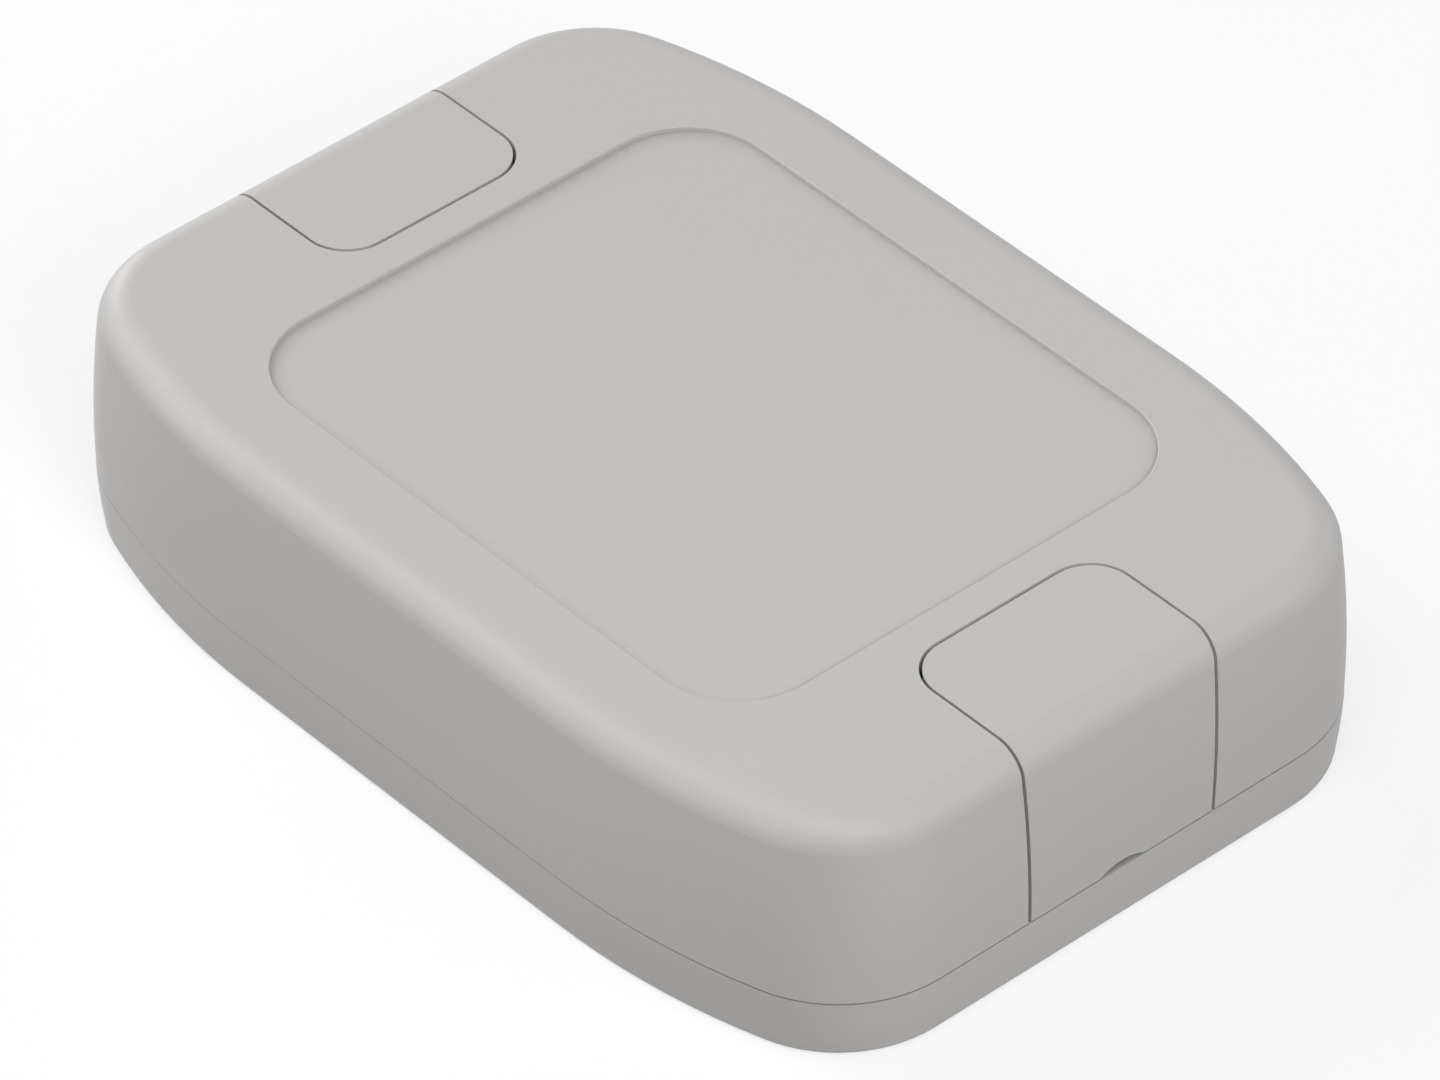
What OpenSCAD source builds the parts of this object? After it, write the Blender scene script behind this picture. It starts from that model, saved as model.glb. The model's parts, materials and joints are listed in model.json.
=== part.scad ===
// Electronics enclosure: a two-part moulded case with a label recess and two
// pull-off end covers. X runs along the case, Y across it, Z up from the underside.

/* [Overall size] */
// Length over the two end walls
case_l = 150; // [125:1:220]
// Width over the two long sides
case_w = 105.4; // [88:0.2:160]
// Height from the underside to the top face
case_h = 35.8; // [30:0.2:60]
// Height of the parting line above the underside
base_h = 9; // [8:0.1:14]

/* [Plan shape] */
// Corner radius of the plan, where the case is widest
corner_r = 18.5; // [14:0.1:24]
// Side arc centre to corner centre, along the case
arc_dx = 26.448; // [26.448]
// Side arc centre to corner centre, across the case (the two give a round 85.84)
arc_dy = 81.664; // [81.664]

/* [Bowed walls] */
// Radius of the fillet round the top face
top_r = 4.4; // [3:0.2:6]
// Centre of the wall's bow to the fillet's centre, outwards
bow_dx = 151.2; // [151.2]
// Centre of the wall's bow to the fillet's centre, upwards (the two give a round 152.25)
bow_dz = 17.85; // [17.85]
// Radius of the bottom edge
foot_r = 0.8; // [0.4:0.1:1.5]
// Centre of the base's bow to the bottom edge's centre, outwards
foot_dx = 72.15; // [72.15]
// Centre of the base's bow to the bottom edge's centre, downwards (a round 72.89)
foot_dz = 10.36; // [10.36]

/* [Walls and parting line] */
// Wall thickness of both shells
wall = 2.5; // [2:0.1:4]
// Width of the rim where the shells meet
rim_w = 4.4; // [4:0.1:6]
// Height of the rim below and above the parting line
rim_h = 2.4; // [2:0.1:4]
// Height of the shadow groove on the outside of the parting line
shadow_h = 0.35; // [0.2:0.05:0.6]
// Depth of the shadow groove
shadow_d = 0.6; // [0.3:0.1:1]
// Height of the locating lip above the parting line
lip_h = 1.8; // [1:0.1:3]
// Thickness of the locating lip
lip_t = 1.2; // [1:0.1:2]
// Side clearance of the locating lip
lip_gap = 0.2; // [0.1:0.05:0.4]

/* [Seal] */
// Distance of the seal from the outside of the rim
seal_in = 1.4; // [1.2:0.1:2]
// Width of the seal groove
seal_w = 1.4; // [1:0.1:2]
// Depth of the seal groove
seal_h = 1.2; // [0.8:0.1:2]
// Side clearance of the seal in its groove
seal_gap = 0.05; // [0.02:0.01:0.1]

/* [Label recess] */
// Distance from each end wall to the recess
recess_end = 28.2; // [28:0.1:40]
// Distance from each long side to the recess
recess_side = 13.9; // [12:0.1:30]
// Corner radius of the recess
recess_r = 12; // [4:0.5:16]
// Depth of the recess
recess_d = 0.7; // [0.5:0.1:1.2]
// Radius of the rounded edge of the recess
recess_lip = 0.2; // [0.1:0.1:0.4]

/* [End covers] */
// How far each cover reaches in over the top face
cover_reach = 22.8; // [20:0.1:24]
// Half width of a cover at the top face
cover_hw = 15.9; // [14:0.1:18]
// How much narrower each side of a cover is at its lower edge
cover_draft = 0.7; // [0:0.1:1]
// Radius of the cover's inner corners
cover_r = 6; // [3:0.5:8]
// Wall thickness of a cover
cover_t = 2; // [1.6:0.1:2.5]
// Gap between a cover and the case round it
cover_gap = 0.4; // [0.3:0.05:0.6]
// Length of the tongue that hooks under the top face
tongue_l = 2.4; // [1.5:0.1:2.8]
// Width of the tongue
tongue_w = 22; // [14:1:24]
// Clearance above the tongue
tongue_gap = 0.3; // [0.2:0.05:0.5]
// Width of the pry notch in the cover's lower edge
notch_w = 7.4; // [5:0.1:12]
// Height of the pry notch
notch_h = 1; // [0.6:0.1:2]
// Diameter of the friction pegs
peg_d = 2.9; // [2:0.1:4]
// Radial clearance of a peg in its socket
peg_gap = 0.05; // [0.03:0.01:0.1]
// Distance of the pegs from the centre line
peg_y = 9.4; // [8:0.1:11]

/* [Screw wells] */
// Depth of the wells from the end walls
well_reach = 26.6; // [25.5:0.1:28]
// Thickness of the walls round a well
well_t = 2; // [1.6:0.1:2.5]
// Inner corner radius of a well
well_r = 4; // [3:0.5:6]
// Thickness of a well's floor
well_floor = 3; // [2.4:0.1:4]
// Distance of the screws and fixing hole from the end wall
screw_in = 13; // [12:0.5:14]
// Distance of the case screws from the centre line
screw_y = 10; // [9:0.1:11]

/* [Fasteners] */
// Thread diameter of the case screws
screw_d = 3; // [3]
// Length of a screw under its head
screw_l = 6.4; // [6:0.1:8]
// Diameter of the screw head
head_d = 5.6; // [5:0.1:6]
// Height of the screw head
head_h = 2.1; // [1.6:0.1:2.6]
// Depth of the counterbore under the head
head_sink = 1; // [0.5:0.1:1.5]
// Outside diameter of a threaded insert
insert_d = 4.6; // [4:0.1:5]
// Length of a threaded insert
insert_l = 4.8; // [4:0.1:5]
// Diameter of the hole for a wall fixing screw
fixing_d = 4.5; // [3.5:0.1:5]
// Diameter of the driver hole above it
access_d = 10; // [8:0.1:11]

/* [Board bosses] */
// Distance of the bosses from the end walls
board_end = 36; // [34:0.5:50]
// Distance of the bosses from the long sides
board_side = 15.2; // [13:0.1:40]
// Diameter of a boss
board_boss_d = 7; // [6:0.5:9]
// Height of a boss above the floor
board_boss_h = 4; // [3:0.5:5.5]
// Diameter of the pilot hole for a board screw
board_pilot_d = 2.4; // [2:0.1:3]

/* [Hidden] */
$fn = 96;

half_l = case_l / 2;
half_w = case_w / 2;
arc_r = norm([arc_dx, arc_dy]) + corner_r;
corner_x = half_l - corner_r;
arc_x = corner_x - arc_dx;
arc_y = half_w - arc_r;
corner_y = arc_y + arc_dy;
// Depth of the band that is swept round the plan, and the plates' overlap into it
band = 9;
plate_in = band - 2;
well_x = half_l - well_reach;
well_hw = cover_hw + cover_gap;
well_top = base_h + well_floor;
screw_x = half_l - screw_in;
seat_z = well_top - head_sink;
cover_z0 = base_h + cover_gap;
peg_z = well_top + 2.7;
socket_x0 = half_l - 9.2;
socket_l = 5;
lip_z = base_h - rim_h;
// Radii of the bowed walls, and the centres of the two edge fillets from the outline
bow_r = norm([bow_dx, bow_dz]) + top_r;
foot_bow_r = norm([foot_dx, foot_dz]) + foot_r;
top_in = bow_r - bow_dx;
foot_in = foot_bow_r - foot_dx;
screw_places = [[1, 1], [1, -1], [-1, 1], [-1, -1]];

case_grey = [0.77, 0.765, 0.755];
steel_grey = [0.62, 0.63, 0.65];
brass = [0.78, 0.64, 0.33];
seal_black = [0.12, 0.12, 0.12];

// Plan shape and what is swept round it

// Both mirror images of a quarter
module four_quarters() {
    for (sx = [0, 1], sy = [0, 1])
        mirror([sx, 0, 0])
            mirror([0, sy, 0])
                children();
}

// The part of the plan between the side arc's centre line and the corner
module arc_wedge() {
    polygon([[0, 0], [1.25 * arc_dx, 1.25 * arc_dy], [0, 1.4 * arc_dy]]);
}

// The part of the plan round the corner, from the end wall to the side arc
module corner_wedge() {
    polygon([[0, 0], [30, 0], [30, 0.4 * arc_dy], [0.4 * arc_dx, 0.4 * arc_dy]]);
}

// The case's outline, moved in by inset
module plan(inset) {
    four_quarters() {
        square([arc_x, half_w - inset]);
        square([half_l - inset, corner_y]);
        intersection() {
            translate([arc_x, arc_y])
                intersection() {
                    circle(arc_r - inset);
                    arc_wedge();
                }
            square([half_l, half_w]);
        }
        translate([corner_x, corner_y])
            intersection() {
                circle(corner_r - inset);
                corner_wedge();
            }
    }
}

// Sweeps a profile round the outline: its X is out from the outline, its Y is height
module swept() {
    four_quarters() {
        rotate([90, 0, 90])
            linear_extrude(arc_x)
                translate([half_w, 0])
                    children();
        translate([0, corner_y, 0])
            rotate([90, 0, 0])
                linear_extrude(corner_y)
                    translate([half_l, 0])
                        children();
        translate([arc_x, arc_y, 0])
            intersection() {
                rotate_extrude()
                    translate([arc_r, 0])
                        children();
                linear_extrude(case_h + 1)
                    arc_wedge();
            }
        translate([corner_x, corner_y, 0])
            intersection() {
                rotate_extrude()
                    translate([corner_r, 0])
                        children();
                linear_extrude(case_h + 1)
                    corner_wedge();
            }
    }
}

// Sweeps a profile round a rounded rectangle with half sides x and y
module swept_rect(x, y, r) {
    four_quarters() {
        rotate([90, 0, 90])
            linear_extrude(x - r)
                translate([y, 0])
                    children();
        translate([0, y - r, 0])
            rotate([90, 0, 0])
                linear_extrude(y - r)
                    translate([x, 0])
                        children();
        translate([x - r, y - r, 0])
            intersection() {
                rotate_extrude()
                    translate([r, 0])
                        children();
                linear_extrude(case_h + 2)
                    square(2 * r);
            }
    }
}

// A well at one end of the case, grown by g, open at the end wall
module well(g) {
    translate([well_x - g, -well_hw - g]) {
        translate([well_r + g, 0])
            square([60, 2 * (well_hw + g)]);
        translate([0, well_r + g])
            square([60, 2 * (well_hw - well_r)]);
        for (y = [well_r + g, 2 * well_hw + g - well_r])
            translate([well_r + g, y])
                circle(well_r + g);
    }
}

// The sealed inside of the case, t in from its outer boundary
module sealed(t) {
    difference() {
        plan(t);
        well(t - 1);
        mirror([1, 0])
            well(t - 1);
    }
}

// The wall of a well at one end of the case, from grow g0 out to g1, stopping inset from the outline
module well_ring(g0, g1, inset) {
    intersection() {
        difference() {
            well(g1);
            well(g0);
        }
        plan(inset);
    }
}

// The same thing at both ends of the case
module both_ends() {
    children();
    mirror([1, 0, 0])
        children();
}

module rounded_rect(x, y, r) {
    square([2 * x, 2 * (y - r)], center = true);
    square([2 * (x - r), 2 * y], center = true);
    for (sx = [-1, 1], sy = [-1, 1])
        translate([sx * (x - r), sy * (y - r)])
            circle(r);
}

// Base

// Section of the base's outside, filled: the bowed wall and the bottom edge
module base_outside() {
    slope = foot_dz / foot_dx;
    far = 4;
    intersection() {
        translate([-foot_bow_r, foot_r + foot_dz])
            circle(foot_bow_r);
        polygon([[-foot_in, foot_r], [-foot_in + far, foot_r - far * slope], [far, base_h], [-foot_in, base_h]]);
    }
    intersection() {
        translate([-foot_in, foot_r])
            circle(foot_r);
        polygon([[-foot_in, foot_r], [-foot_in, -1], [-foot_in + far, -1], [-foot_in + far, foot_r - far * slope]]);
    }
    translate([-band, 0])
        square([band - foot_in, base_h]);
}

module base_profile() {
    difference() {
        base_outside();
        polygon([
            [-band - 1, base_h + 1],
            [-rim_w, base_h + 1],
            [-rim_w, base_h - rim_h],
            [-rim_w + 1, base_h - rim_h - 1],
            [-foot_in - wall + foot_r, wall],
            [-band - 1, wall]
        ]);
    }
}

module base_shell() {
    color(case_grey)
    difference() {
        union() {
            swept()
                base_profile();
            linear_extrude(wall)
                plan(plate_in);
            both_ends()
                linear_extrude(base_h)
                    well_ring(-1, rim_w - 1, wall - 0.5);
            translate([0, 0, lip_z])
                linear_extrude(rim_h + lip_h)
                    difference() {
                        sealed(rim_w + lip_gap);
                        sealed(rim_w + lip_gap + lip_t);
                    }
            translate([0, 0, lip_z])
                linear_extrude(rim_h - 0.6)
                    difference() {
                        sealed(rim_w - 0.4);
                        sealed(rim_w + lip_gap + lip_t);
                    }
            both_ends() {
                for (sy = [-1, 1])
                    translate([screw_x, sy * screw_y, wall / 2])
                        cylinder(h = base_h - wall / 2, d = insert_d + 3.4);
                translate([screw_x, 0, wall / 2])
                    cylinder(h = wall / 2 + 1.5, d = fixing_d + 6);
            }
            board_bosses();
        }
        translate([0, 0, base_h - seal_h])
            linear_extrude(seal_h + 1)
                difference() {
                    sealed(seal_in);
                    sealed(seal_in + seal_w);
                }
        both_ends() {
            for (sy = [-1, 1])
                translate([screw_x, sy * screw_y, 0]) {
                    translate([0, 0, base_h - insert_l])
                        cylinder(h = insert_l + 1, d = insert_d);
                    translate([0, 0, wall - 0.6])
                        cylinder(h = base_h, d = screw_d + 0.4);
                }
            translate([screw_x, 0, -1])
                cylinder(h = base_h, d = fixing_d);
        }
        for (sx = [-1, 1], sy = [-1, 1])
            translate([sx * (half_l - board_end), sy * (half_w - board_side), 1.2])
                cylinder(h = base_h, d = board_pilot_d);
    }
}

// Bosses for a circuit board, each with four small webs
module board_bosses() {
    for (sx = [-1, 1], sy = [-1, 1])
        translate([sx * (half_l - board_end), sy * (half_w - board_side), wall / 2]) {
            cylinder(h = wall / 2 + board_boss_h, d = board_boss_d);
            for (a = [0, 90])
                rotate(a)
                    translate([-board_boss_d / 2 - 1.5, -0.6, 0])
                        cube([board_boss_d + 3, 1.2, wall / 2 + board_boss_h - 1.5]);
        }
}

// Top shell

// Section of the top shell's outside: moved in by inset, and filled down to low and in to back
module top_outside(inset, low, back) {
    slope = bow_dz / bow_dx;
    far = 8;
    oz = case_h - top_r;
    intersection() {
        translate([-bow_r, oz - bow_dz])
            circle(bow_r - inset);
        polygon([[-top_in, oz], [-top_in, low], [far, low], [-top_in + far, oz + far * slope]]);
    }
    intersection() {
        translate([-top_in, oz])
            circle(top_r - inset);
        polygon([[-top_in, oz], [-top_in + far, oz + far * slope], [-top_in + far, case_h + 1], [-top_in, case_h + 1]]);
    }
    translate([-back, low])
        square([back - top_in, case_h - inset - low]);
}

module top_profile() {
    difference() {
        top_outside(0, base_h, band);
        difference() {
            top_outside(wall, base_h - 1, band + 1);
            polygon([
                [-rim_w, base_h - 2],
                [1, base_h - 2],
                [1, base_h + rim_h + rim_w + 1],
                [-rim_w, base_h + rim_h]
            ]);
        }
        translate([-shadow_d, base_h - 1])
            square([2, shadow_h + 1]);
    }
}

// What is cut for the label recess, out to its rounded edge
module label_recess() {
    x = half_l - recess_end;
    y = half_w - recess_side;
    floor_z = case_h - recess_d;
    translate([0, 0, floor_z])
        linear_extrude(recess_d + 1)
            rounded_rect(x - 2, y - 2, recess_r - 2);
    swept_rect(x, y, recess_r)
        difference() {
            translate([-3, floor_z])
                square([3 + recess_lip, recess_d + 1]);
            translate([0, floor_z - 1])
                square([recess_lip + 1, 1 + recess_d - recess_lip]);
            translate([recess_lip, floor_z + recess_d - recess_lip])
                circle(recess_lip);
        }
}

// A cover's plan, drafted from the parting line to the top face, grown by g
module cover_prism(g) {
    low_r = cover_r - cover_draft + g;
    high_r = cover_r + g;
    cx = half_l - cover_reach + cover_r;
    cy = cover_hw - cover_r;
    rise = case_h - base_h;
    far = cover_reach;
    translate([cx, 0, base_h]) {
        rotate([90, 0, 90])
            linear_extrude(far)
                polygon([[-cy - low_r, 0], [cy + low_r, 0], [cy + high_r, rise], [-cy - high_r, rise]]);
        translate([0, cy, 0])
            rotate([90, 0, 0])
                linear_extrude(2 * cy)
                    polygon([[-low_r, 0], [far, 0], [far, rise], [-high_r, rise]]);
        for (sy = [-1, 1])
            translate([0, sy * cy, 0])
                cylinder(h = rise, r1 = low_r, r2 = high_r);
    }
}

// The inside of a well with its floor, walls, screw seats and peg sockets
module top_well() {
    difference() {
        union() {
            translate([0, 0, base_h])
                linear_extrude(case_h - wall + 0.3 - base_h)
                    well_ring(0, well_t, wall - 0.1);
            translate([0, 0, base_h])
                linear_extrude(rim_h)
                    well_ring(-1, rim_w - 1, wall + 0.1);
            translate([0, 0, base_h])
                linear_extrude(well_floor)
                    intersection() {
                        well(well_t / 2);
                        plan(wall + 0.1);
                    }
            for (sy = [-1, 1])
                translate([socket_x0, sy * peg_y - 2.4, base_h + 1])
                    cube([socket_l, 4.8, peg_z + 2.4 - base_h - 1]);
        }
        for (sy = [-1, 1]) {
            translate([screw_x, sy * screw_y, base_h - 1])
                cylinder(h = well_floor + 2, d = screw_d + 0.4);
            translate([screw_x, sy * screw_y, seat_z])
                cylinder(h = head_sink + 1, d = head_d + 0.8);
            translate([socket_x0 - 1, sy * peg_y, peg_z])
                rotate([0, 90, 0])
                    cylinder(h = socket_l + 2, d = peg_d + 2 * peg_gap);
        }
        translate([screw_x, 0, base_h - 1])
            cylinder(h = well_floor + 2, d = access_d);
    }
}

module top_shell() {
    color(case_grey)
    union() {
        difference() {
            union() {
                swept()
                    top_profile();
                translate([0, 0, case_h - wall])
                    linear_extrude(wall)
                        plan(plate_in);
            }
            label_recess();
            both_ends()
                cover_prism(cover_gap);
        }
        both_ends()
            top_well();
    }
}

// End covers

// Section of a cover along the case: top plate, fillet and end wall
module cover_section() {
    translate([half_l, 0])
        difference() {
            top_outside(0, cover_z0, cover_reach + 1);
            top_outside(cover_t, cover_z0 - 1, cover_reach + 2);
        }
}

module cover() {
    tongue_z = case_h - wall - tongue_gap - 1.6;
    edge_x = half_l - cover_reach;
    notch_r = (notch_w * notch_w / 4 + notch_h * notch_h) / (2 * notch_h);
    color(case_grey)
    difference() {
        union() {
            intersection() {
                translate([0, cover_hw + 1, 0])
                    rotate([90, 0, 0])
                        linear_extrude(2 * cover_hw + 2)
                            cover_section();
                cover_prism(0);
            }
            // Tongue under the edge of the top face, and the step that carries it
            translate([edge_x - cover_gap - tongue_l, -tongue_w / 2, tongue_z])
                cube([tongue_l + cover_gap + 2.6, tongue_w, 1.6]);
            translate([edge_x + 0.8, -tongue_w / 2, tongue_z])
                cube([1.8, tongue_w, case_h - cover_t / 2 - tongue_z]);
            // Stiffening gussets between the top plate and the end wall
            for (sy = [-1, 1])
                translate([0, sy * 13.7 + 0.7, 0])
                    rotate([90, 0, 0])
                        linear_extrude(1.4)
                            polygon([
                                [edge_x + 8, case_h - cover_t + 0.4],
                                [half_l - top_in, case_h - cover_t + 0.4],
                                [half_l - top_in + top_r - cover_t + 0.4, case_h - top_r],
                                [half_l - cover_t + 0.2, peg_z - 0.6],
                                [half_l - cover_t - 1.4, peg_z - 0.6]
                            ]);
            // Friction pegs
            for (sy = [-1, 1])
                translate([socket_x0 + 0.6, sy * peg_y, peg_z])
                    rotate([0, 90, 0])
                        cylinder(h = half_l - cover_t + 0.5 - socket_x0 - 0.6, d = peg_d);
        }
        translate([half_l - cover_t - 2, 0, cover_z0 + notch_h - notch_r])
            rotate([0, 90, 0])
                cylinder(h = cover_t + 4, r = notch_r);
    }
}

module front_cover() {
    cover();
}

module rear_cover() {
    mirror([1, 0, 0])
        cover();
}

// Seal and fasteners

module seal_gasket() {
    color(seal_black)
    translate([0, 0, base_h - seal_h])
        linear_extrude(seal_h)
            difference() {
                sealed(seal_in + seal_gap);
                sealed(seal_in + seal_w - seal_gap);
            }
}

// Pan-head screw with a hexagon socket, standing on its seat
module case_screw(i) {
    color(steel_grey)
    translate([screw_places[i][0] * screw_x, screw_places[i][1] * screw_y, seat_z]) {
        difference() {
            union() {
                translate([0, 0, -screw_l])
                    cylinder(h = screw_l + 1, d = screw_d - 0.04);
                cylinder(h = head_h - 0.5, d = head_d);
                translate([0, 0, head_h - 0.5])
                    cylinder(h = 0.5, d1 = head_d, d2 = head_d - 1);
            }
            translate([0, 0, head_h - 1.2])
                cylinder(h = 2, d = 2.3, $fn = 6);
        }
        translate([0, 0, -screw_l - 0.5])
            cylinder(h = 0.5, d1 = screw_d - 1, d2 = screw_d - 0.04);
    }
}

module case_screw_1() { case_screw(0); }
module case_screw_2() { case_screw(1); }
module case_screw_3() { case_screw(2); }
module case_screw_4() { case_screw(3); }

// Threaded insert with two knurled collars and a groove between them
module thread_insert(i) {
    color(brass)
    translate([screw_places[i][0] * screw_x, screw_places[i][1] * screw_y, base_h - insert_l])
        difference() {
            union() {
                cylinder(h = insert_l, d = insert_d - 0.8);
                cylinder(h = insert_l * 0.4, d = insert_d - 0.04);
                translate([0, 0, insert_l * 0.6])
                    cylinder(h = insert_l * 0.4, d = insert_d - 0.04);
            }
            translate([0, 0, -1])
                cylinder(h = insert_l + 2, d = screw_d);
        }
}

module thread_insert_1() { thread_insert(0); }
module thread_insert_2() { thread_insert(1); }
module thread_insert_3() { thread_insert(2); }
module thread_insert_4() { thread_insert(3); }

base_shell();
top_shell();
front_cover();
rear_cover();
seal_gasket();
case_screw_1();
case_screw_2();
case_screw_3();
case_screw_4();
thread_insert_1();
thread_insert_2();
thread_insert_3();
thread_insert_4();
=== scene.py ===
# %% [markdown]
# # A plastic electronics enclosure
# The object is a flat moulded case with bowed long sides, a shallow label recess
# on top and two end covers that hide the case screws. Its shape comes ready made
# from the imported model. This lesson gives it finishes, light and a camera.
# Everything is in metres, with the underside of the case on the plane Z = 0.

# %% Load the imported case
import json
import math

import bpy
from mathutils import Matrix, Vector

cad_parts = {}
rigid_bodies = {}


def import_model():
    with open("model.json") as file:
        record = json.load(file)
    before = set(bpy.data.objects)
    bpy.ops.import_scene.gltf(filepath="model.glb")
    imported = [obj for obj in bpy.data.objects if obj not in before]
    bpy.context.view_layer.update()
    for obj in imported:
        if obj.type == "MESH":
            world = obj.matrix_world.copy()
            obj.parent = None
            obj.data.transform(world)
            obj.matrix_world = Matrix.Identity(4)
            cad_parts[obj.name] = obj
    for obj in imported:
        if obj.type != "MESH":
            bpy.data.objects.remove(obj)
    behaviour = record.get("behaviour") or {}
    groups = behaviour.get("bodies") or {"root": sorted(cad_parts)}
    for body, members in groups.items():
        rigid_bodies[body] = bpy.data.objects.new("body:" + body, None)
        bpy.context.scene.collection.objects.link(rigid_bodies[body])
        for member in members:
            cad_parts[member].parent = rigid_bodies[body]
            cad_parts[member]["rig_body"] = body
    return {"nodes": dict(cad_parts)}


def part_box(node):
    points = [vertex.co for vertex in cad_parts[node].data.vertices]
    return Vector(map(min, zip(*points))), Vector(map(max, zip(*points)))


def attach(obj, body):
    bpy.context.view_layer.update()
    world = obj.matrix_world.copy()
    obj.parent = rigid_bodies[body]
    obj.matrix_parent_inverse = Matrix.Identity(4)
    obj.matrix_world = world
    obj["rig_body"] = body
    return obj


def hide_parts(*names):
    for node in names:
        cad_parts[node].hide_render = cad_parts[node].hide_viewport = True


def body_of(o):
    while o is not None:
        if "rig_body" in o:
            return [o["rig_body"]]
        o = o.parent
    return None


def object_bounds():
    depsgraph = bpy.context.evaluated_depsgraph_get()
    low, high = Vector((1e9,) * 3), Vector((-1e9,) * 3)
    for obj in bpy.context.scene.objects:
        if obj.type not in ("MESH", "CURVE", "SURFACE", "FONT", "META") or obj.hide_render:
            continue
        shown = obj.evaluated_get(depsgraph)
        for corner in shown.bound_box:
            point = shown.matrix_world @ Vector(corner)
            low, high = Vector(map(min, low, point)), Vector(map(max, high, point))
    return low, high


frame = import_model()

cad_low, cad_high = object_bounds()
case_parts = frame["nodes"]
MM = 0.001
case_top = cad_high.z
print("parts:", sorted(case_parts))
print("case size in mm:", [round(v / MM, 2) for v in cad_high - cad_low])

# %% [markdown]
# ## The camera
# The picture to match was taken from far away with a long lens, so that parallel
# edges stay nearly parallel. A camera is placed by naming the point it looks at,
# how far it is turned and raised round that point, and how far away it stands.
# Turn 0 looks along +Y, and a rise of 90 degrees looks straight down.

# %% Camera
VIEW_TURN = math.radians(48.373)
VIEW_RISE = math.radians(40.350)
VIEW_ROLL = math.radians(-0.195)
VIEW_DISTANCE = 1306.31 * MM
LENS_MM = 263.079
AIM_SIDE = 1.047 * MM
AIM_UP = -16.840 * MM
SENSOR_MM = 36
NEAREST, FARTHEST = 0.05, 50


def view_axes(turn, rise, roll):
    """The camera's right, up and backward directions."""
    back = Vector((math.sin(turn) * math.cos(rise), -math.cos(turn) * math.cos(rise), math.sin(rise)))
    right = Vector((math.cos(turn), math.sin(turn), 0))
    up = back.cross(right)
    tipped_right = right * math.cos(roll) + up * math.sin(roll)
    tipped_up = up * math.cos(roll) - right * math.sin(roll)
    return tipped_right, tipped_up, back


side, up, back = view_axes(VIEW_TURN, VIEW_RISE, VIEW_ROLL)
aim = Vector((0, 0, case_top)) + side * AIM_SIDE + up * AIM_UP
camera_data = bpy.data.cameras.new("case_camera")
camera_data.sensor_width = SENSOR_MM
camera_data.lens = LENS_MM
camera_data.clip_start, camera_data.clip_end = NEAREST, FARTHEST
camera = bpy.data.objects.new("case_camera", camera_data)
bpy.context.scene.collection.objects.link(camera)
camera.matrix_world = (
    Matrix.Translation(aim + back * VIEW_DISTANCE)
    @ Matrix((side, up, back)).transposed().to_4x4()
)
bpy.context.scene.camera = camera
print("camera stands at", [round(v, 4) for v in camera.matrix_world.translation])

# %% [markdown]
# ## The parting line
# The shells meet round the case in one thin line. Round the front end it is an open
# shadow groove, but the long sides are drawn together by the screws, and there it
# nearly closes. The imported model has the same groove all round. Cutting a groove of
# changing height would need a new edge all the way round, so the shells and covers are
# replaced by copies of themselves instead, which already have that edge. In a copy only
# the points of the edge move, by a few tenths of a millimetre.

# %% Gap along the parting line
GAPS_MM = [(-75, 0.25), (-72, 0.04), (-30, 0.06), (30, 0.1), (62, 0.25), (75, 0.25)]
FAR_FROM_MM, FAR_EASE_MM, FAR_GAP_MM = 38.0, 4.0, 0.03
DROP_FROM_MM, DROP_EASE_MM, DROP_MM = 30.0, 32.0, 0.2
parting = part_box("top_shell")[0].z


def eased(value, start, length):
    """How far a value has come from start over that length, from 0 to 1."""
    return min(max((value - start) / length, 0), 1)


def gap_at(point):
    """The gap in mm at a point of the edge. On the far side it nearly closes."""
    along = point.x / MM
    gap = GAPS_MM[-1][1]
    for (start, here), (end, there) in zip(GAPS_MM, GAPS_MM[1:]):
        if start <= along <= end:
            gap = here + (there - here) * (along - start) / (end - start)
    return gap + (FAR_GAP_MM - gap) * eased(point.y / MM, FAR_FROM_MM, FAR_EASE_MM)


def drop_at(point):
    """How far in mm the line's lower side lies below the parting plane."""
    near = 1 - eased(point.y / MM, FAR_FROM_MM, FAR_EASE_MM)
    return DROP_MM * near * eased(point.x / MM, DROP_FROM_MM, DROP_EASE_MM)


print("gap at the front end in mm:", gap_at(Vector((cad_high.x, 0, 0))))

# %% Copies of the mouldings


def stand_in(node):
    """A copy of a moulding that takes its node's place."""
    piece = bpy.data.objects.new(node + "_moulding", case_parts[node].data.copy())
    bpy.context.scene.collection.objects.link(piece)
    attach(piece, body_of(case_parts[node])[0])
    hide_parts(node)
    return piece


# %% [markdown]
# ### The base's edge
# Round the front end, where the gap is open, the base's outer edge lies a little lower.
# That edge shares its height with the seal's groove and the locating lip. It could be
# found with the outline's own formula, but there is a simpler test: a point belongs to
# the outer edge if its wall faces outwards and no other point of the rim lies further
# out in that direction.

# %% Base
SLACK_MM, EDGE_DEPTH_MM, WALL_NORMAL, PLACE_DIGITS = 0.05, 0.3, 0.7, 6


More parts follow.
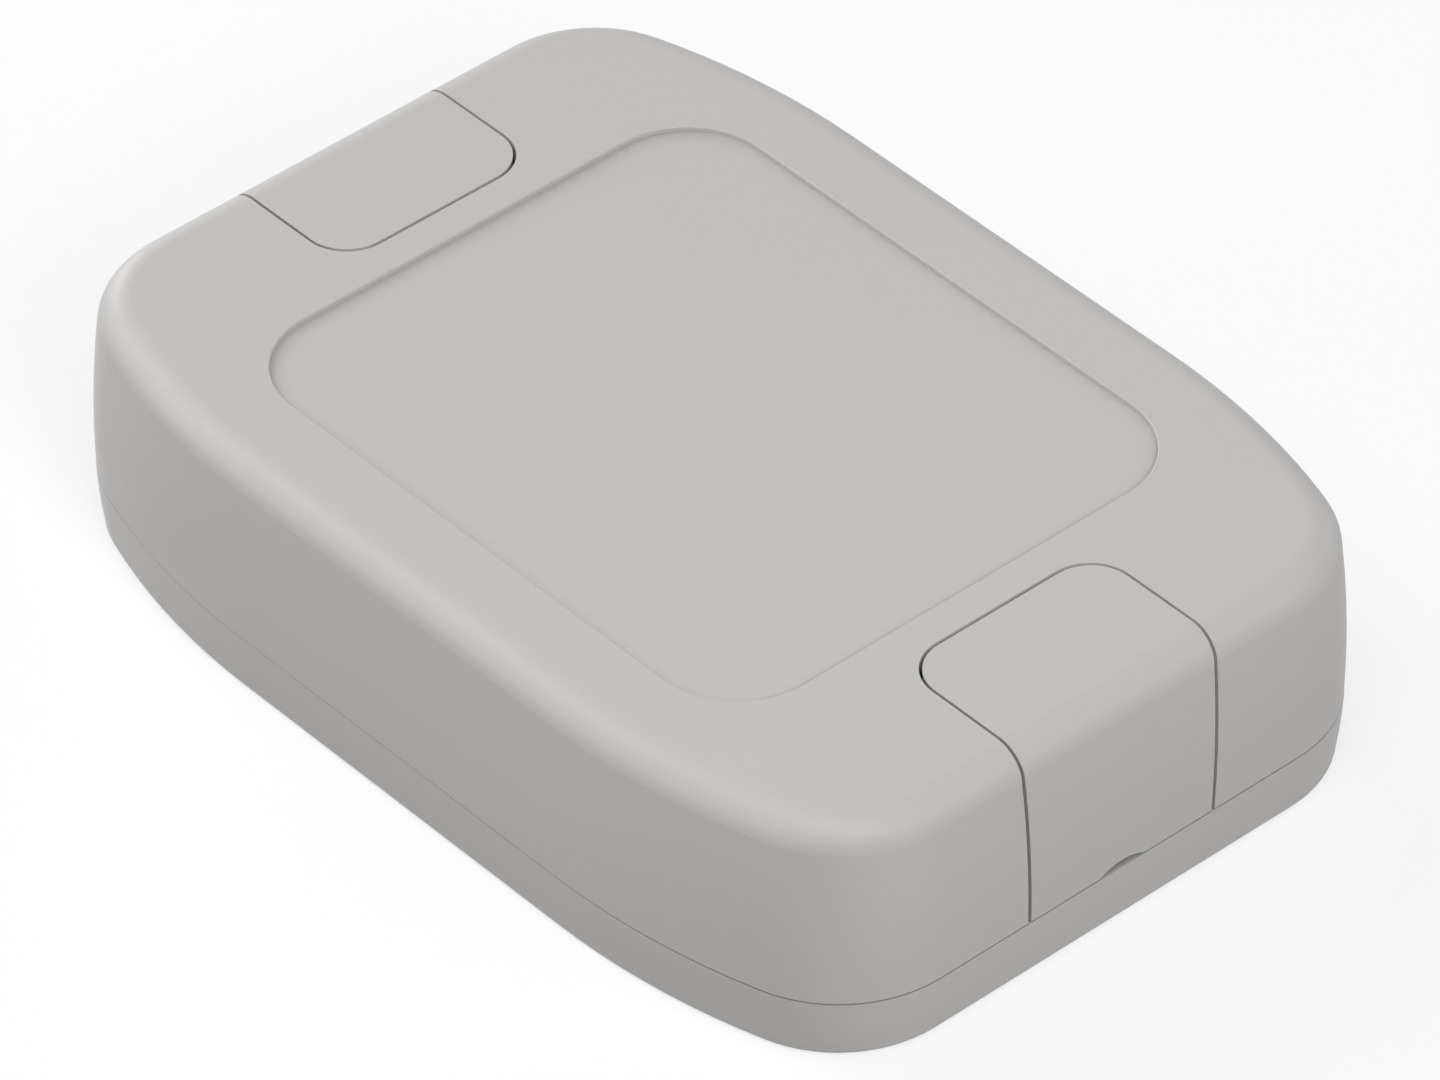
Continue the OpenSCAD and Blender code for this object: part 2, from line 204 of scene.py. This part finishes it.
def lower_moulding(node):
    """The base, whose outer top edge is a little lower where the gap is open."""
    piece = stand_in(node)
    rim = [
        vertex for vertex in piece.data.vertices
        if abs(vertex.co.z - parting) < SLACK_MM * MM and drop_at(vertex.co) > 0
    ]
    outer = set()
    for vertex in rim:
        outwards = Vector((vertex.normal.x, vertex.normal.y, 0))
        reach = max(outwards.dot(other.co) for other in rim)
        if outwards.length > WALL_NORMAL and outwards.dot(vertex.co) > reach - EDGE_DEPTH_MM * MM:
            outer.add(vertex.co.to_tuple(PLACE_DIGITS))
    edge = [vertex for vertex in rim if vertex.co.to_tuple(PLACE_DIGITS) in outer]
    for vertex in edge:
        vertex.co.z -= drop_at(vertex.co) * MM
    print(piece.name, "has", len(edge), "edge points")
    return piece


base = lower_moulding("base_shell")

# %% [markdown]
# ### The upper pieces' edges
# The lower edge of an upper piece is easy to find, because nothing else of it lies at
# that height. A cover's edge also has a pry notch, whose points lie up to a millimetre
# higher and come down with the rest.

# %% Top shell
SHELL_EDGE_MM = 0.35


def upper_moulding(node, edge_mm, notch_mm=0):
    """An upper piece whose lower edge, with its notch, comes down to the gap."""
    piece = stand_in(node)
    low = parting + (edge_mm - SLACK_MM) * MM
    high = parting + (edge_mm + notch_mm + SLACK_MM) * MM
    edge = [vertex for vertex in piece.data.vertices if low < vertex.co.z < high]
    for vertex in edge:
        vertex.co.z -= (edge_mm - gap_at(vertex.co) + drop_at(vertex.co)) * MM
    print(piece.name, "has", len(edge), "edge points")
    return piece


top = upper_moulding("top_shell", SHELL_EDGE_MM)

# %% [markdown]
# ### Room round the covers
# A cover has to slide into its opening without rubbing, so the mould maker leaves room
# round it, and a little more down the end wall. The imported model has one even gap. The
# cover could be cut again with wider gaps, but its copy already has the right curves, so
# it's simpler to move its points by a tenth of a millimetre. Down the end wall both
# sides move inwards, and towards the top face that move fades out, because the seam
# keeps its width there. On top the inner rim is drawn back towards the end of the case.

# %% Covers
COVER_EDGE_MM, NOTCH_MM = 0.4, 1.0
SIDE_ROOM_MM, TOP_ROOM_MM = 0.15, 0.1
SIDE_FROM_MM, EASE_MM, CORNER_MM, TOP_SKIN_MM = 15.0, 5.0, 6.0, 0.5


def eased_cover(node):
    """A cover that is a little narrower down the end wall and a little shorter on top."""
    cover = upper_moulding(node, COVER_EDGE_MM, NOTCH_MM)
    end = 1 if node == "front_cover" else -1
    points = cover.data.vertices
    skin = case_top - TOP_SKIN_MM * MM
    rim = min(end * vertex.co.x for vertex in points if vertex.co.z > skin)
    for vertex in points:
        if abs(vertex.co.y) > SIDE_FROM_MM * MM:
            share = min((case_top - vertex.co.z) / (EASE_MM * MM), 1)
            vertex.co.y -= math.copysign(share * SIDE_ROOM_MM * MM, vertex.co.y)
        share = 1 - (end * vertex.co.x - rim) / (CORNER_MM * MM)
        vertex.co.x += end * min(max(share, 0), 1) * TOP_ROOM_MM * MM
    return cover


mouldings = [base, top, eased_cover("front_cover"), eased_cover("rear_cover")]
print("cover rims are", TOP_ROOM_MM, "mm shorter and sides", SIDE_ROOM_MM, "mm narrower")

# %% [markdown]
# ## Studio: floor, air and lamps
# The case stands on a white table in an evenly lit room. A ray that shows the
# background, whether straight on, in a mirror or through glass, meets a nearly pure
# white that keeps only a part of the floor's own shading, for the soft shadow under the
# case. The scattered rays that light the case meet a duller floor and a weak air. One
# white for all rays would be simpler, but it would wash out the lower walls.

# %% Helpers for node trees


def linked(tree, kind, **settings):
    """A new node of that kind with those properties."""
    node = tree.nodes.new(kind)
    for name, value in settings.items():
        setattr(node, name, value)
    return node


def sees_background(tree):
    """1 for a ray that shows the background: straight on, in a mirror or through glass."""
    ray = linked(tree, "ShaderNodeLightPath")
    seen = linked(tree, "ShaderNodeMath", operation="MAXIMUM")
    seen_too = linked(tree, "ShaderNodeMath", operation="MAXIMUM")
    tree.links.new(ray.outputs["Is Camera Ray"], seen.inputs[0])
    tree.links.new(ray.outputs["Is Glossy Ray"], seen.inputs[1])
    tree.links.new(seen.outputs[0], seen_too.inputs[0])
    tree.links.new(ray.outputs["Is Transmission Ray"], seen_too.inputs[1])
    return seen_too.outputs[0]


# %% Floor
bpy.context.scene.view_settings.view_transform = "Standard"
FLOOR_HALF, FLOOR_BELOW_MM = 4.0, 0.05
corners = [(x * FLOOR_HALF, y * FLOOR_HALF, 0) for x, y in ((-1, -1), (1, -1), (1, 1), (-1, 1))]
floor_mesh = bpy.data.meshes.new("floor")
floor_mesh.from_pydata(corners, [], [(0, 1, 2, 3)])
floor = bpy.data.objects.new("floor", floor_mesh)
bpy.context.scene.collection.objects.link(floor)
floor.location.z = -FLOOR_BELOW_MM * MM
print("floor is", 2 * FLOOR_HALF, "m wide")

# %% Table white
FLOOR_WHITE, FLOOR_BOUNCE, FLOOR_SHADOW_SHARE = 0.98, 0.45, 0.35
table_white = bpy.data.materials.new("table_white")
table_white.use_nodes = True
tree = table_white.node_tree
tree.nodes.clear()
dull = linked(tree, "ShaderNodeBsdfDiffuse")
dull.inputs["Color"].default_value = (FLOOR_BOUNCE, FLOOR_BOUNCE, FLOOR_BOUNCE, 1)
lit = linked(tree, "ShaderNodeBsdfDiffuse")
lit.inputs["Color"].default_value = (FLOOR_WHITE, FLOOR_WHITE, FLOOR_WHITE, 1)
glow = linked(tree, "ShaderNodeEmission")
clean = linked(tree, "ShaderNodeMixShader")
clean.inputs["Fac"].default_value = 1 - FLOOR_SHADOW_SHARE
pick = linked(tree, "ShaderNodeMixShader")
out = linked(tree, "ShaderNodeOutputMaterial")
tree.links.new(lit.outputs[0], clean.inputs[1])
tree.links.new(glow.outputs[0], clean.inputs[2])
tree.links.new(sees_background(tree), pick.inputs["Fac"])
tree.links.new(dull.outputs[0], pick.inputs[1])
tree.links.new(clean.outputs[0], pick.inputs[2])
tree.links.new(pick.outputs[0], out.inputs["Surface"])
floor_mesh.materials.append(table_white)
print("table keeps", FLOOR_SHADOW_SHARE, "of its own shading where it is seen")

# %% Air
AIR_STRENGTH = 0.1
air = bpy.data.worlds.new("studio_air")
bpy.context.scene.world = air
air.use_nodes = True
tree = air.node_tree
tree.nodes.clear()
strength = linked(tree, "ShaderNodeMapRange")
strength.inputs["To Min"].default_value = AIR_STRENGTH
strength.inputs["To Max"].default_value = 1.0
sky = linked(tree, "ShaderNodeBackground")
out = linked(tree, "ShaderNodeOutputWorld")
tree.links.new(sees_background(tree), strength.inputs["Value"])
tree.links.new(strength.outputs[0], sky.inputs["Strength"])
tree.links.new(sky.outputs[0], out.inputs["Surface"])
print("air lights the case with a strength of", AIR_STRENGTH)

# %% [markdown]
# ### Lamps
# Matte plastic shows no lamp as a bright spot. What shows is how much light each side
# gets, and how softly one side turns into the next. So all the lamps are large squares
# (softboxes) that look at the case from about a metre away. The two high ones light the
# top face, those on the left and in front set the level of the two near walls, and the
# key lamp draws the pale streak along the left fillet. The rear one keeps the far wall
# from going dull when the case is turned round. Their powers are so low that the plastic
# renders about as bright as its colour is written.

# %% Lamps
LAMP_DISTANCE = 1.2
SOFTBOXES = {  # turn and rise in degrees, side of the square in metres, power in watts
    "overhead_softbox": (45, 70, 0.7, 4.6),
    "high_right_softbox": (70, 40, 0.5, 6.0),
    "right_softbox": (110, 26, 0.5, 1.65),
    "left_low_softbox": (-102, 14, 0.4, 3.9),
    "left_softbox": (-66, 32, 0.55, 3.35),
    "front_low_softbox": (-45, 14, 0.4, 2.55),
    "key_softbox": (-66, 51, 0.35, 1.45),
    "rear_softbox": (180, 14, 0.4, 1.1),
}
for name, (turn_deg, rise_deg, size, watts) in SOFTBOXES.items():
    to_lamp = view_axes(math.radians(turn_deg), math.radians(rise_deg), 0)[2]
    light = bpy.data.lights.new(name, "AREA")
    light.shape, light.size, light.energy = "SQUARE", size, watts
    lamp = bpy.data.objects.new(name, light)
    bpy.context.scene.collection.objects.link(lamp)
    lamp.location = Vector((0, 0, case_top / 2)) + to_lamp * LAMP_DISTANCE
    lamp.rotation_mode = "QUATERNION"
    lamp.rotation_quaternion = to_lamp.to_track_quat("Z", "Y")
    print(name, "gives", watts, "W")

# %% [markdown]
# ## Finishes
# Four substances show on the case: moulded plastic, zinc plated steel, brass and seal
# rubber. Each gets one material, made only of shader nodes, so that it has the right
# detail from every side and needs no picture. All the patterns are read in the case's
# own metres (Object coordinates), so a grain of 0.3 mm is 0.3 mm on every part, and it
# stays on a cover that is pulled off.

# %% Helpers for a material


def finish(name, base, roughness, metallic=0.0, shine=0.5):
    """A new material with plain values on its surface shader."""
    made = bpy.data.materials.new(name)
    made.use_nodes = True
    surface = made.node_tree.nodes["Principled BSDF"]
    surface.inputs["Base Color"].default_value = (*base, 1)
    surface.inputs["Roughness"].default_value = roughness
    surface.inputs["Metallic"].default_value = metallic
    surface.inputs["Specular IOR Level"].default_value = shine
    return made


def wear(tree, socket, value):
    """Wires a value or colour to a named socket of the surface shader."""
    tree.links.new(value, tree.nodes["Principled BSDF"].inputs[socket])


def relief(tree, height, depth_mm):
    """Tiny relief whose full height is depth_mm, wired to the surface shader."""
    bump = linked(tree, "ShaderNodeBump")
    bump.inputs["Distance"].default_value = depth_mm * MM
    tree.links.new(height, bump.inputs["Height"])
    tree.links.new(bump.outputs["Normal"], tree.nodes["Principled BSDF"].inputs["Normal"])


# %% Helpers for patterns


def places(tree):
    """The point on the case, in metres."""
    return linked(tree, "ShaderNodeTexCoord").outputs["Object"]


def mottle(tree, where, grain_mm, detail=2.0):
    """Soft random noise whose blotches are about grain_mm wide, around 0.5."""
    noise = linked(tree, "ShaderNodeTexNoise")
    noise.inputs["Scale"].default_value = 1 / (grain_mm * MM)
    noise.inputs["Detail"].default_value = detail
    tree.links.new(where, noise.inputs["Vector"])
    return noise.outputs["Fac"]


def spread(tree, value, low, high, start=0.3, end=0.7):
    """Spreads start to end over low to high."""
    span = linked(tree, "ShaderNodeMapRange")
    for name, number in zip(("From Min", "From Max", "To Min", "To Max"), (start, end, low, high)):
        span.inputs[name].default_value = number
    tree.links.new(value, span.inputs["Value"])
    return span.outputs[0]


def between(tree, value, dark, light):
    """A colour between two, by a value from 0 to 1."""
    blend = linked(tree, "ShaderNodeMix", data_type="RGBA")
    blend.inputs["A"].default_value = (*dark, 1)
    blend.inputs["B"].default_value = (*light, 1)
    tree.links.new(value, blend.inputs["Factor"])
    return blend.outputs["Result"]


# %% [markdown]
# ### Moulded plastic
# The shells and covers are a warm light grey plastic. Their mould is spark-eroded,
# which leaves tiny round craters about a third of a millimetre apart and only a few
# thousandths deep. That is what makes the skin matte. Cells (Voronoi) give the craters,
# fine noise breaks them up, and very soft wide blotches are the flow of the melt.
#
# Shade is painted into the colour where a level face meets an upright one, as at the foot
# of the recess's edge: there the level face is darkened. It could be painted along each
# edge, but the Ambient Occlusion node finds such nooks by itself: it tells how much of a
# point's surroundings within a few millimetres is open. Only faces that look up are
# darkened by this painted shade.

# %% Case plastic
CASE_GREY = (0.533, 0.521, 0.508)
PALEST, DARKEST = 1.015, 0.985
CRATER_MM, CRATER_BREAK_MM, CRATER_DEPTH_MM = 0.32, 0.14, 0.006
FLOW_MM, FLOW_DETAIL, FLOW_SHARE, SPECK_MM = 35, 3, 0.75, 0.5
SMOOTHEST, ROUGHEST, ROUGH_MM = 0.41, 0.49, 0.25
case_plastic = finish("moulded_light_grey_plastic", CASE_GREY, roughness=0.45, shine=0.3)
tree = case_plastic.node_tree
where = places(tree)
craters = linked(tree, "ShaderNodeTexVoronoi", feature="F1")
craters.inputs["Scale"].default_value = 1 / (CRATER_MM * MM)
tree.links.new(where, craters.inputs["Vector"])
rough_skin = linked(tree, "ShaderNodeMath", operation="ADD")
tree.links.new(craters.outputs["Distance"], rough_skin.inputs[0])
tree.links.new(mottle(tree, where, CRATER_BREAK_MM), rough_skin.inputs[1])
relief(tree, rough_skin.outputs[0], CRATER_DEPTH_MM)
wear(tree, "Roughness", spread(tree, mottle(tree, where, ROUGH_MM), SMOOTHEST, ROUGHEST))
flow = linked(tree, "ShaderNodeMath", operation="MULTIPLY_ADD")
tree.links.new(mottle(tree, where, FLOW_MM, FLOW_DETAIL), flow.inputs[0])
flow.inputs[1].default_value = FLOW_SHARE
tree.links.new(spread(tree, mottle(tree, where, SPECK_MM), 0.0, 1 - FLOW_SHARE), flow.inputs[2])
skin = between(tree, flow.outputs[0], [c * DARKEST for c in CASE_GREY], [c * PALEST for c in CASE_GREY])
print("plastic skin has craters", CRATER_MM, "mm wide and", CRATER_DEPTH_MM, "mm deep")

# %% Painted shade in the nooks
NOOK_MM, NOOK_SHADE, NOOK_RAYS = 2.5, 0.5, 4
# Painted shade: faces that look up are darkened in their base colour where the nook is closed in.
nook = linked(tree, "ShaderNodeAmbientOcclusion", samples=NOOK_RAYS)
nook.inputs["Distance"].default_value = NOOK_MM * MM
facing = linked(tree, "ShaderNodeSeparateXYZ")
tree.links.new(linked(tree, "ShaderNodeNewGeometry").outputs["Normal"], facing.inputs[0])
painted_nook_shade = linked(tree, "ShaderNodeMath", operation="MULTIPLY")
tree.links.new(spread(tree, nook.outputs["AO"], 1.0, 0.0, start=0.0, end=1.0), painted_nook_shade.inputs[0])
tree.links.new(facing.outputs["Z"], painted_nook_shade.inputs[1])
shade_scale = spread(tree, painted_nook_shade.outputs[0], 1.0, 1 - NOOK_SHADE, start=0.0, end=1.0)
shaded = linked(tree, "ShaderNodeVectorMath", operation="SCALE")
tree.links.new(skin, shaded.inputs[0])
tree.links.new(shade_scale, shaded.inputs["Scale"])
wear(tree, "Base Color", shaded.outputs[0])
print("plastic:", len(tree.nodes), "nodes")

# %% [markdown]
# ### Zinc plated screws
# The screws are steel with a thin bright zinc coat. Their heads are turned, which
# leaves fine rings round the axis. A wave pattern would draw even rings, but a tool
# leaves uneven ones, so noise is read along the distance from the axis instead. The
# distance from the nearest screw's axis comes from the point's X and Y with their signs
# taken off, because the four screws stand in a mirrored pattern.

# %% Rings round the screws


def distance_from_axes(tree, where, axis):
    """How far a point is from the nearest of four upright axes, in metres."""
    unsigned = linked(tree, "ShaderNodeVectorMath", operation="ABSOLUTE")
    tree.links.new(where, unsigned.inputs[0])
    flat = linked(tree, "ShaderNodeVectorMath", operation="MULTIPLY")
    tree.links.new(unsigned.outputs[0], flat.inputs[0])
    flat.inputs[1].default_value = (1, 1, 0)
    apart = linked(tree, "ShaderNodeVectorMath", operation="DISTANCE")
    tree.links.new(flat.outputs[0], apart.inputs[0])
    apart.inputs[1].default_value = (axis.x, axis.y, 0)
    return apart.outputs["Value"]


def turned_rings(tree, distance, ring_mm):
    """Uneven rings about ring_mm apart."""
    rings = linked(tree, "ShaderNodeTexNoise", noise_dimensions="1D")
    rings.inputs["Scale"].default_value = 1 / (ring_mm * MM)
    rings.inputs["Detail"].default_value = 1.0
    tree.links.new(distance, rings.inputs["W"])
    return rings.outputs["Fac"]


screw_low, screw_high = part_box("case_screw_1")
screw_axis = (screw_low + screw_high) / 2
print("screw axis in mm:", [round(v / MM, 2) for v in screw_axis])

# %% Screw steel
ZINC, ZINC_YELLOWISH, ZINC_BLUISH = (0.62, 0.625, 0.64), (0.58, 0.575, 0.56), (0.64, 0.655, 0.69)
ZINC_RING_MM, ZINC_RING_DEPTH_MM, ZINC_BLOOM_MM, ZINC_ROUGH_MM = 0.12, 0.004, 1.2, 0.4
ZINC_SHINY, ZINC_DULL = 0.24, 0.38
screw_steel = finish("zinc_plated_steel", ZINC, roughness=0.3, metallic=1.0)
tree = screw_steel.node_tree
where = places(tree)
rings = turned_rings(tree, distance_from_axes(tree, where, screw_axis), ZINC_RING_MM)
relief(tree, rings, ZINC_RING_DEPTH_MM)
wear(tree, "Roughness", spread(tree, mottle(tree, where, ZINC_ROUGH_MM), ZINC_SHINY, ZINC_DULL))
wear(tree, "Base Color", between(tree, mottle(tree, where, ZINC_BLOOM_MM), ZINC_YELLOWISH, ZINC_BLUISH))
print("zinc:", len(tree.nodes), "nodes")

# %% [markdown]
# ### Brass inserts and the seal
# The inserts are turned brass, a little dulled. They stand on the screws' axes, so the
# helper that draws the screws' rings serves for them too. The seal is a soft black
# rubber cord, with a faint bloom of paler dust. Noise is enough for it, because a
# moulded cord has no tool marks.

# %% Brass
BRASS, BRASS_DARK, BRASS_LIGHT = (0.75, 0.58, 0.28), (0.62, 0.45, 0.2), (0.78, 0.61, 0.31)
BRASS_RING_MM, BRASS_RING_DEPTH_MM, BRASS_STAIN_MM, BRASS_ROUGH_MM = 0.2, 0.006, 0.8, 0.3
BRASS_SHINY, BRASS_DULL = 0.28, 0.45
insert_brass = finish("turned_brass", BRASS, roughness=0.35, metallic=1.0)
tree = insert_brass.node_tree
where = places(tree)
rings = turned_rings(tree, distance_from_axes(tree, where, screw_axis), BRASS_RING_MM)
relief(tree, rings, BRASS_RING_DEPTH_MM)
wear(tree, "Base Color", between(tree, mottle(tree, where, BRASS_STAIN_MM), BRASS_DARK, BRASS_LIGHT))
wear(tree, "Roughness", spread(tree, mottle(tree, where, BRASS_ROUGH_MM), BRASS_SHINY, BRASS_DULL))
print("brass:", len(tree.nodes), "nodes")

# %% Rubber
RUBBER, RUBBER_DARK, RUBBER_DUSTY = (0.03, 0.03, 0.03), (0.02, 0.02, 0.021), (0.045, 0.044, 0.042)
PORE_MM, PORE_DETAIL, PORE_DEPTH_MM, BLOOM_MM, RUBBER_ROUGH_MM = 0.1, 3, 0.01, 2, 0.6
RUBBER_SHINY, RUBBER_DULL = 0.6, 0.8
seal_rubber = finish("black_seal_rubber", RUBBER, roughness=0.7)
tree = seal_rubber.node_tree
where = places(tree)
relief(tree, mottle(tree, where, PORE_MM, PORE_DETAIL), PORE_DEPTH_MM)
wear(tree, "Base Color", between(tree, mottle(tree, where, BLOOM_MM), RUBBER_DARK, RUBBER_DUSTY))
wear(tree, "Roughness", spread(tree, mottle(tree, where, RUBBER_ROUGH_MM), RUBBER_SHINY, RUBBER_DULL))
print("rubber:", len(tree.nodes), "nodes")

# %% [markdown]
# ## Putting the finishes on
# Every piece is one substance from end to end, so each gets one material, chosen by
# the piece's name. The screws, inserts and the seal are named for what they are, and
# all the others are mouldings. The copies that stand in for mouldings come last.

# %% Finishes on the parts
for part in list(case_parts.values()) + mouldings:
    name = part.name
    if "screw" in name:
        worn = screw_steel
    elif "insert" in name:
        worn = insert_brass
    elif "gasket" in name:
        worn = seal_rubber
    else:
        worn = case_plastic
    part.data.materials.clear()
    part.data.materials.append(worn)
    print(name, "wears", worn.name)
